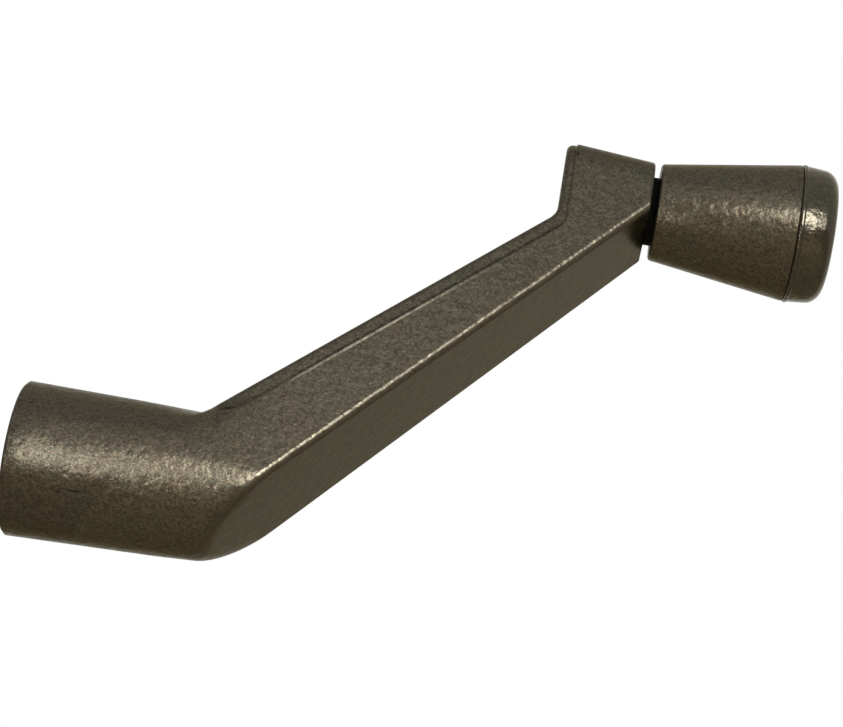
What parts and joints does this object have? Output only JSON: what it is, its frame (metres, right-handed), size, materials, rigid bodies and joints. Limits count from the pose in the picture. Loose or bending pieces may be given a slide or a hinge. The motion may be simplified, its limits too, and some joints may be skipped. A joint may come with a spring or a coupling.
{
  "type": "crank handle",
  "caption": "Window operator crank: a cast arm with a splined hub and set screw at one end and a tapered knob that turns freely at the other.",
  "frame": {"origin": "centre of the hub's open end face, on the hub's axis", "axes": "+X from the hub's open end into the part, along the hub; +Z the throw of the crank, from the hub's axis towards the knob's; +Y completes the frame and points to the set screw's side"},
  "size_m": [0.0963, 0.019, 0.0681],
  "materials": {
    "bronze_paint": "satin, dark bronze with a fine metallic grain",
    "cap_paint": "satin to glossy, dark bronze",
    "screw_steel": "black oxide",
    "spindle_steel": "zinc plated",
    "black_plastic": "matt"
  },
  "bodies": {
    "crank": {"crank_arm": "bronze_paint", "set_screw": "screw_steel", "knob_spindle": "spindle_steel", "thrust_washer": "black_plastic", "spindle_washer": "spindle_steel"},
    "knob": {"knob_body": "bronze_paint", "knob_cap": "cap_paint"}
  },
  "joints": [
    {"name": "knob_spin", "type": "hinge", "parent": "crank", "child": "knob", "pos_m": [0.0822, 0, 0.0496], "axis": [1, 0, 0], "continuous": true}
  ]
}
